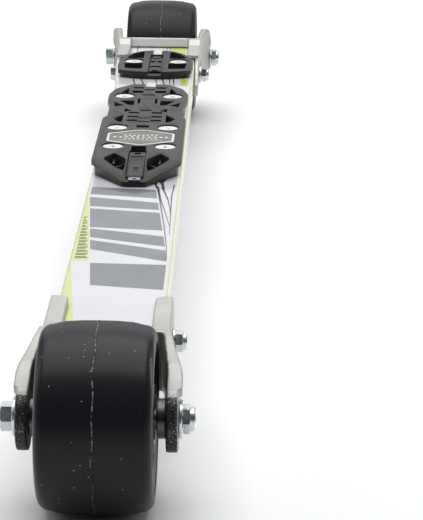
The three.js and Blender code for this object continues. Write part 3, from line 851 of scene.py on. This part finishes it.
def plateBody(outline, base, top, inset):
    # a lip of the full outline on a foot that stands in a little from it
    lip = slab(outline, top - plateSizes["lip"], top, 2.2, 5)
    foot = slab([(x * inset, y) for x, y in outline], base, top - plateSizes["lip"] + 0.3, 2.2, 5)
    return cutAway(lip, [foot], "UNION")


def badgeOutline(grow):
    x, low, high, crown = 19.6 + grow, 12 - grow, 30 + grow, 37.8 + grow
    return bothSides([(x, low), (x, high), (3, crown)]) + [(0, 2.6 - grow)]


def makeToePlate():
    size = plateSizes
    top, floor = size["toeTop"], size["floor"]
    outline = bothSides([(7, -57), (25.2, -31.5), (25, 66.5), (22.6, 71), (22.7, 97.5), (24.7, 109), (24.8, 127.5),
                         (21.2, 143), (11.5, 155), (3.5, 156)])
    plate = plateBody(outline, size["base"], top, 0.93)
    windows = [[(6.8, -42.7), (9, -42), (18.4, -28), (18.1, -23.3), (13.7, -15.4), (12, -16), (7.2, -24.2),
                (6, -28), (6, -36.5)]]
    ladder = [step(3.8, 10.4, y, y + 3.4) for y in (59.3, 68.4, 78.3, 143.5)] + [step(3.7, 10.6, 131.5, 137.5)]
    slits = [step(4.5, 6.1, 104, 116.5),
             [(8, 99), (12, 100), (17.3, 110.8), (8, 110.5)], [(13.3, 145), (17.8, 131), (12.7, 130.6)],
             [(12.8, 91), (13, 82.3), (8.2, 84.5)], [(12.8, 74.5), (18.8, 65.3), (15.8, 58), (13, 56.5)],
             [(13.4, 98.5), (19.6, 95.5), (20.5, 106.5)]]
    cutters = [beam([(-80, 57), (-80, 61), (-57, 61), (-28, 66.01), (-28, 90), (-90, 90), (-90, 57)], -40, 40)]
    cutters += seats(size["toeRows"], top)
    cutters += pockets(windows, floor) + pockets(ladder, floor + 1, 0.4) + pockets(slits, floor + 1, 0.4)
    cutters += across([step(0, 5, -60, -9), step(0, 4.2, -9.5, 1.3)], 61, 0.01)
    cutters += across([step(0, 3.3, 149, 170)], 50, 0.01)
    cutters += across([step(0, 3.8, 66.4, 68.2), step(0, 3.8, 57.4, 59.4), step(0, 3.8, 44, 49), step(0, 3.6, 84.5, 87),
                       step(0, 3.9, 125, 127.4), step(0, 3.3, 139, 141.6)], floor + 2.5, 0.3)
    cutters += [slab(badgeOutline(0.3), top - 0.9, size["above"], 1.2, 3)]
    cutAway(plate, cutters)
    # low ribs cross each window
    ribs = [([(7.4, -26.2), (12.6, -33.2), (11.7, -33.9), (6.5, -26.9)], 62.6),
            ([(6.2, -38.6), (7, -39.8), (17.4, -26), (16.5, -25.2)], 62.2),
            ([(12.4, -17.5), (13.4, -17.5), (13.4, -28), (12.4, -28)], 63.4)]
    for outline, ribTop in ribs:
        for points in paired(outline):
            cutAway(plate, [slab(points, size["base"] + 0.2, ribTop)], "UNION")
    roundEdges(plate, size["edge"])
    return finishPiece(plate, "toe_plate_moulded", "frame", "plate_plastic", finishes["plastic"], "toe_plate")


def makeHeelPlate():
    size = plateSizes
    top, floor = size["heelTop"], size["floor"]
    outline = bothSides([(3, 203.5), (13.5, 205.3), (24.2, 209.5), (25.2, 222), (24.8, 241), (19.2, 258),
                         (10.8, 268), (3.2, 270.5)])
    plate = plateBody(outline, size["base"], top, 0.95)
    holes = [[(20, 249), (15.6, 261), (10.5, 265.4), (8.8, 265.4), (8.8, 245), (19, 245)],
             [(8.6, 213.5), (20, 214.8), (21, 230), (8.6, 230)]]
    cutters = seats([size["heelRow"]], top) + pockets(holes, floor, 0.8)
    cutters += across([step(0, 2.9, 258, 280)], 50, 0.01) + across([step(0, 4.4, 200, 256)], top - 2.6, 0.01)
    cutAway(plate, cutters)
    roundEdges(plate, size["edge"])
    return finishPiece(plate, "heel_plate_moulded", "frame", "plate_plastic", finishes["plastic"], "heel_plate")


makeToePlate()
makeHeelPlate()


# ---- the small pieces on the plates

def patchAt(points, top):
    return slab(points, top - 0.2, top - 0.06)


def makeBadge():
    top = plateSizes["toeTop"]
    border = slab(badgeOutline(0), top - 0.6, top + 0.1, 1.2, 3)
    cutAway(border, [slab(badgeOutline(-1.5), top - 1, top + 1, 0.8, 3)])
    roundEdges(border, 0.1)
    border = finishPiece(border, "badge_border", "frame", "badge_grey", finishes["badgeEdge"])
    film = slab(badgeOutline(-1.55), top - 0.6, top - 0.15, 0.8, 3)
    # a plain pattern: rows of small diamonds between two level lines
    marks = [patchAt(step(-13, 13, 28.6, 29.1), top), patchAt(step(-13, 13, 14.2, 14.7), top)]
    for y, reach, size in ((25.6, 9, 1.3), (21.7, 15, 1.7), (17.6, 9, 1.3)):
        count = round(2 * reach / (1.9 * size))
        for k in range(count + 1):
            x = -reach + 2 * reach * k / count
            marks.append(patchAt([(x - size * 0.7, y), (x, y - size), (x + size * 0.7, y), (x, y + size)], top))
    finishPiece(joinAll("badge_pattern", marks), "badge_pattern", "frame", "badge_grey", finishes["badgeEdge"])
    finishPiece(film, "badge_film", "frame", "badge_grey", finishes["badge"], "badge_plate")


def makeTongue():
    tongue = beam([(-50, 61.3), (-9, 61.3), (-9, 65), (-12, 65.3), (-30, 64.6), (-50, 62.2)], -4.6, 4.6)
    # a slot for the finger, a long shallow panel, and a small moulded dot
    cutAway(tongue, [slab(step(-1.8, 1.8, -14, -10.6), 60, 70, 0.3, 2)])
    panel = beam([(-47, 62.2), (-30, 64.25), (-17, 64.7), (-17, 70), (-47, 70)], -3.4, 3.4)
    cutAway(tongue, [panel])
    cutAway(tongue, [post(0, -36, 60.5, 63.9, 1.3, 24)], "UNION")
    roundEdges(tongue, 0.3)
    finishPiece(tongue, "toe_tongue_moulded", "frame", "plate_plastic", finishes["plastic"], "toe_tongue")
    catch = slab(step(-3.4, 3.4, -56, -50.5), 61.3, 62.1, 0.8, 3)
    cutAway(catch, [post(0, -53.6, 60, 64, 1.1, 24)])
    roundEdges(catch, 0.15)
    finishPiece(catch, "toe_catch_plated", "frame", "zinc_steel", finishes["bearing"], "toe_catch")
    top = plateSizes["heelTop"]
    insert = slab(step(-4, 4, 212, 255.6), top - 2.3, top - 1.3, 0.4, 2)
    # raised pads: half width, start, end and depth below the plate's top
    pads = [(2.7, 249, 255, 0.6), (3.6, 240, 246.5, 0.6), (3.6, 225, 231, 0.6), (1, 231, 240, 0.8),
            (2, 213.5, 221, 0.7)]
    raised = [slab(step(-half, half, y0, y1), top - 1.5, top - depth) for half, y0, y1, depth in pads]
    cutAway(insert, raised, "UNION")
    roundEdges(insert, 0.18)
    finishPiece(insert, "heel_insert_moulded", "frame", "plate_plastic", finishes["plastic"], "heel_insert")


def makeScrew(node, top):
    # a pan head with a cross recess over a plain shank
    centre = middle(node)
    x, y = centre.x / mm, centre.y / mm
    face = top - plateSizes["sink"]
    head = post(x, y, face - 1.6, face - 0.55, 6.2, 48)
    editWhere(head, "FACE", lambda f: f.normal.z > 0.9)
    for thickness, depth in ((0.3, 0.3), (0.8, 0.13), (1.5, 0.06)):
        bpy.ops.mesh.inset(thickness=thickness * mm, depth=depth * mm)
    settle(head)
    cutAway(head, [post(x, y, 45, face - 1, 2.4, 24)], "UNION")
    turn = math.radians(20 + 37 * (round(y) % 7))
    arm, half = 2.3, 0.45
    cross = slab(step(-arm, arm, -half, half), face - 0.8, face + 1)
    cutAway(cross, [slab(step(-half, half, -arm, arm), face - 0.82, face + 1.02)], "UNION")
    editAll(cross)
    bpy.ops.transform.rotate(value=turn, orient_axis="Z", center_override=(0, 0, 0))
    bpy.ops.transform.translate(value=(x * mm, y * mm, 0))
    settle(cross)
    cutAway(head, [cross])
    roundEdges(head, 0.12, 2, 30)
    finishPiece(head, f"{node}_pan", "frame", "screw_steel", finishes["screw"], node)


makeBadge()
makeTongue()
for hand in hands:
    for row in ("toe_1", "toe_2", "toe_3"):
        makeScrew(f"{row}_screw_{hand}", plateSizes["toeTop"])
    makeScrew(f"heel_screw_{hand}", plateSizes["heelTop"])
print("plates and screws made")

# the pieces that stay as packed are inside the others
kept = {"shaft_core": "foam", "rear_one_way_clutch": "bearing"}
for end in ends:
    kept[f"{end}_axle_sleeve"] = "zinc"
    for hand in hands:
        kept[f"{end}_bearing_{hand}_balls"] = "bearing"
for node, finish in kept.items():
    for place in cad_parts[node].material_slots:
        place.material = finishes[finish]


# ---- floor, lights and camera

def makeFloor():
    m = Recipe("studioFloor", (0.93, 0.93, 0.94), 0.6)
    m.colour(m.blend(m.between(m.noise(1.5, 3), 0, 1, 0.3, 0.7), (0.95, 0.95, 0.955), (0.975, 0.975, 0.98)))
    putDown()
    bpy.ops.mesh.primitive_plane_add(size=14, location=(0, 2, 0))
    floor = bpy.context.object
    floor.name = "studio_floor"
    pickUp(floor)
    bpy.ops.object.transform_apply(location=True, rotation=True, scale=True)
    floor.data.materials.append(m.material)


def softBox(name, size, power, place, target, colour=(1, 1, 1)):
    putDown()
    bpy.ops.object.light_add(type="AREA", location=place)
    lamp = bpy.context.object
    lamp.name = name
    lamp.data.shape = "RECTANGLE"
    lamp.data.size, lamp.data.size_y = size
    lamp.data.energy = power
    lamp.data.color = colour
    aim = Matrix.Translation(lamp.location).to_translation() - lamp.location.__class__(target)
    lamp.rotation_euler = aim.to_track_quat("Z", "Y").to_euler()


cameraSizes = {"place": (0.058375, -1.192721, 0.382742), "lens": 149.43, "turn": 0.776, "tilt": 72.15, "roll": 0.652}


def makeCamera():
    size = cameraSizes
    turn = Matrix.Rotation(math.radians(size["turn"]), 4, "Z")
    tilt = Matrix.Rotation(math.radians(size["tilt"]), 4, "X")
    roll = Matrix.Rotation(math.radians(size["roll"]), 4, "Z")
    bpy.ops.object.camera_add()
    camera = bpy.context.object
    camera.matrix_world = Matrix.Translation(size["place"]) @ turn @ tilt @ roll
    camera.data.lens = size["lens"]
    camera.data.sensor_width = 36
    camera.data.clip_start = 0.01
    camera.data.clip_end = 50
    bpy.context.scene.camera = camera


makeFloor()
softBox("rearBox", (5, 2.6), 33, (0, 4.2, 1.7), (0, 0, 0))
softBox("overheadBox", (3, 3), 67, (0, 0.5, 2.6), (0, 0.1, 0))
softBox("leftBox", (0.8, 1.2), 6, (-1.9, 0.4, 0.9), (0, -0.3, 0.04))
softBox("rightBox", (0.3, 1.1), 7, (1.9, 0.75, 0.65), (0, -0.3, 0.04))
makeCamera()


def makeWorld():
    # dim at the horizon and behind the camera, and brighter overhead
    world = bpy.data.worlds.new("studio")
    bpy.context.scene.world = world
    world.use_nodes = True
    tree = world.node_tree
    sky = tree.nodes.new("ShaderNodeTexCoord")
    parts = tree.nodes.new("ShaderNodeSeparateXYZ")
    height = tree.nodes.new("ShaderNodeMapRange")
    tree.links.new(sky.outputs["Generated"], parts.inputs[0])
    tree.links.new(parts.outputs[2], height.inputs["Value"])
    for socket, value in (("From Min", 0.2), ("From Max", 1), ("To Min", 0.14), ("To Max", 0.55)):
        height.inputs[socket].default_value = value
    depth = tree.nodes.new("ShaderNodeMapRange")
    tree.links.new(parts.outputs[1], depth.inputs["Value"])
    for socket, value in (("From Min", -0.9), ("From Max", 0.1), ("To Min", 0.16), ("To Max", 1)):
        depth.inputs[socket].default_value = value
    product = tree.nodes.new("ShaderNodeMath")
    product.operation = "MULTIPLY"
    tree.links.new(height.outputs[0], product.inputs[0])
    tree.links.new(depth.outputs[0], product.inputs[1])
    background = tree.nodes["Background"]
    background.inputs["Color"].default_value = (0.95, 0.97, 1, 1)
    tree.links.new(product.outputs[0], background.inputs["Strength"])


makeWorld()
bpy.context.scene.view_settings.view_transform = "Standard"
print("stage set")
